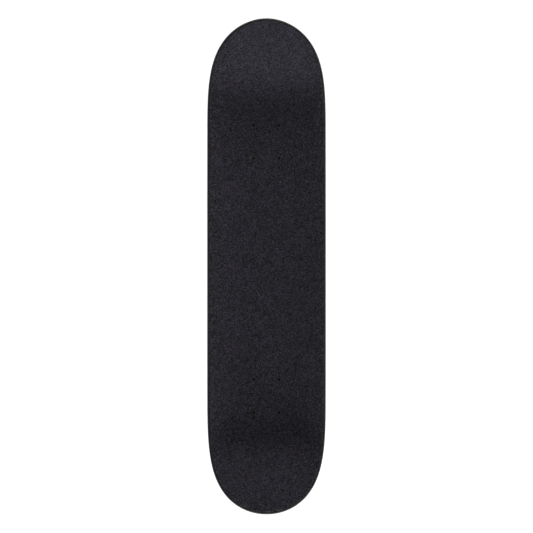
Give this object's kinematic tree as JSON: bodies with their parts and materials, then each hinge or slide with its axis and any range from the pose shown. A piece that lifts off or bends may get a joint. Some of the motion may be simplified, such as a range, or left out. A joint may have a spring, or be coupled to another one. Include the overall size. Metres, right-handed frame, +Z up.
{
  "type": "skateboard",
  "caption": "Complete street skateboard: pressed maple deck with a kicked nose and tail and black grip tape, cast steering trucks and hard urethane wheels on ball bearings.",
  "frame": {"origin": "on the ground, under the middle of the board's length and width", "axes": "+Y along the board towards the nose, +X to the right of someone who faces the nose, +Z up"},
  "size_m": [0.194, 0.7998, 0.1347],
  "materials": {
    "abrasive_tape": "matt black, abrasive grit",
    "black_maple": "black stained maple veneer, satin",
    "crossband_maple": "dark stained maple veneer, satin",
    "black_steel": "black oxide",
    "zinc_steel": "zinc plated",
    "hardened_steel": "plain hardened steel",
    "bearing_steel": "polished",
    "cast_aluminium": "tumbled casting",
    "black_urethane": "satin",
    "bushing_urethane": "satin, off-white",
    "wheel_urethane": "satin, off-white",
    "seal_rubber": "satin black"
  },
  "bodies": {
    "deck": {"grip_tape": "abrasive_tape", "top_face_veneer": "black_maple", "upper_core_veneer": "black_maple", "upper_crossband": "crossband_maple", "centre_core_veneer": "black_maple", "lower_crossband": "crossband_maple", "lower_core_veneer": "black_maple", "bottom_face_veneer": "black_maple", "front_deck_bolts": "black_steel", "front_deck_nuts": "zinc_steel", "front_baseplate": "cast_aluminium", "front_pivot_cup": "black_urethane", "front_kingpin": "hardened_steel", "front_kingpin_nut": "zinc_steel", "front_board_washer": "zinc_steel", "front_road_washer": "zinc_steel", "front_board_bushing": "bushing_urethane", "front_road_bushing": "bushing_urethane", "rear_deck_bolts": "black_steel", "rear_deck_nuts": "zinc_steel", "rear_baseplate": "cast_aluminium", "rear_pivot_cup": "black_urethane", "rear_kingpin": "hardened_steel", "rear_kingpin_nut": "zinc_steel", "rear_board_washer": "zinc_steel", "rear_road_washer": "zinc_steel", "rear_board_bushing": "bushing_urethane", "rear_road_bushing": "bushing_urethane"},
    "front_hanger": {"front_hanger": "cast_aluminium", "front_axle": "hardened_steel", "front_speed_washers": "zinc_steel", "front_axle_nuts": "zinc_steel", "front_left_inner_races": "bearing_steel", "front_left_spacer": "zinc_steel", "front_right_inner_races": "bearing_steel", "front_right_spacer": "zinc_steel"},
    "rear_hanger": {"rear_hanger": "cast_aluminium", "rear_axle": "hardened_steel", "rear_speed_washers": "zinc_steel", "rear_axle_nuts": "zinc_steel", "rear_left_inner_races": "bearing_steel", "rear_left_spacer": "zinc_steel", "rear_right_inner_races": "bearing_steel", "rear_right_spacer": "zinc_steel"},
    "front_left_wheel": {"front_left_wheel": "wheel_urethane", "front_left_outer_races": "bearing_steel", "front_left_shields": "seal_rubber"},
    "front_left_ball_sets": {"front_left_bearing_balls": "bearing_steel"},
    "front_right_wheel": {"front_right_wheel": "wheel_urethane", "front_right_outer_races": "bearing_steel", "front_right_shields": "seal_rubber"},
    "front_right_ball_sets": {"front_right_bearing_balls": "bearing_steel"},
    "rear_left_wheel": {"rear_left_wheel": "wheel_urethane", "rear_left_outer_races": "bearing_steel", "rear_left_shields": "seal_rubber"},
    "rear_left_ball_sets": {"rear_left_bearing_balls": "bearing_steel"},
    "rear_right_wheel": {"rear_right_wheel": "wheel_urethane", "rear_right_outer_races": "bearing_steel", "rear_right_shields": "seal_rubber"},
    "rear_right_ball_sets": {"rear_right_bearing_balls": "bearing_steel"}
  },
  "joints": [
    {"name": "front_steer", "type": "hinge", "parent": "deck", "child": "front_hanger", "pos_m": [0, 0.229, 0.065], "axis": [0, 0.8963, 0.4434], "range_deg": [-15, 15], "stiffness_Nm_per_rad": 70, "deforming": ["front_board_bushing", "front_road_bushing"]},
    {"name": "rear_steer", "type": "hinge", "parent": "deck", "child": "rear_hanger", "pos_m": [0, -0.237, 0.065], "axis": [0, -0.8963, 0.4434], "range_deg": [-15, 15], "stiffness_Nm_per_rad": 70, "deforming": ["rear_board_bushing", "rear_road_bushing"]},
    {"name": "front_left_wheel_spin", "type": "hinge", "parent": "front_hanger", "child": "front_left_wheel", "pos_m": [-0.0765, 0.209, 0.026], "axis": [1, 0, 0], "continuous": true},
    {"name": "front_left_ball_spin", "type": "hinge", "parent": "front_hanger", "child": "front_left_ball_sets", "pos_m": [-0.0765, 0.209, 0.026], "axis": [1, 0, 0], "continuous": true},
    {"name": "front_right_wheel_spin", "type": "hinge", "parent": "front_hanger", "child": "front_right_wheel", "pos_m": [0.0765, 0.209, 0.026], "axis": [1, 0, 0], "continuous": true},
    {"name": "front_right_ball_spin", "type": "hinge", "parent": "front_hanger", "child": "front_right_ball_sets", "pos_m": [0.0765, 0.209, 0.026], "axis": [1, 0, 0], "continuous": true},
    {"name": "rear_left_wheel_spin", "type": "hinge", "parent": "rear_hanger", "child": "rear_left_wheel", "pos_m": [-0.0765, -0.217, 0.026], "axis": [1, 0, 0], "continuous": true},
    {"name": "rear_left_ball_spin", "type": "hinge", "parent": "rear_hanger", "child": "rear_left_ball_sets", "pos_m": [-0.0765, -0.217, 0.026], "axis": [1, 0, 0], "continuous": true},
    {"name": "rear_right_wheel_spin", "type": "hinge", "parent": "rear_hanger", "child": "rear_right_wheel", "pos_m": [0.0765, -0.217, 0.026], "axis": [1, 0, 0], "continuous": true},
    {"name": "rear_right_ball_spin", "type": "hinge", "parent": "rear_hanger", "child": "rear_right_ball_sets", "pos_m": [0.0765, -0.217, 0.026], "axis": [1, 0, 0], "continuous": true}
  ],
  "couplings": [
    {"joint": "front_left_ball_spin", "follows": "front_left_wheel_spin", "ratio": 0.63},
    {"joint": "front_right_ball_spin", "follows": "front_right_wheel_spin", "ratio": 0.63},
    {"joint": "rear_left_ball_spin", "follows": "rear_left_wheel_spin", "ratio": 0.63},
    {"joint": "rear_right_ball_spin", "follows": "rear_right_wheel_spin", "ratio": 0.63}
  ]
}
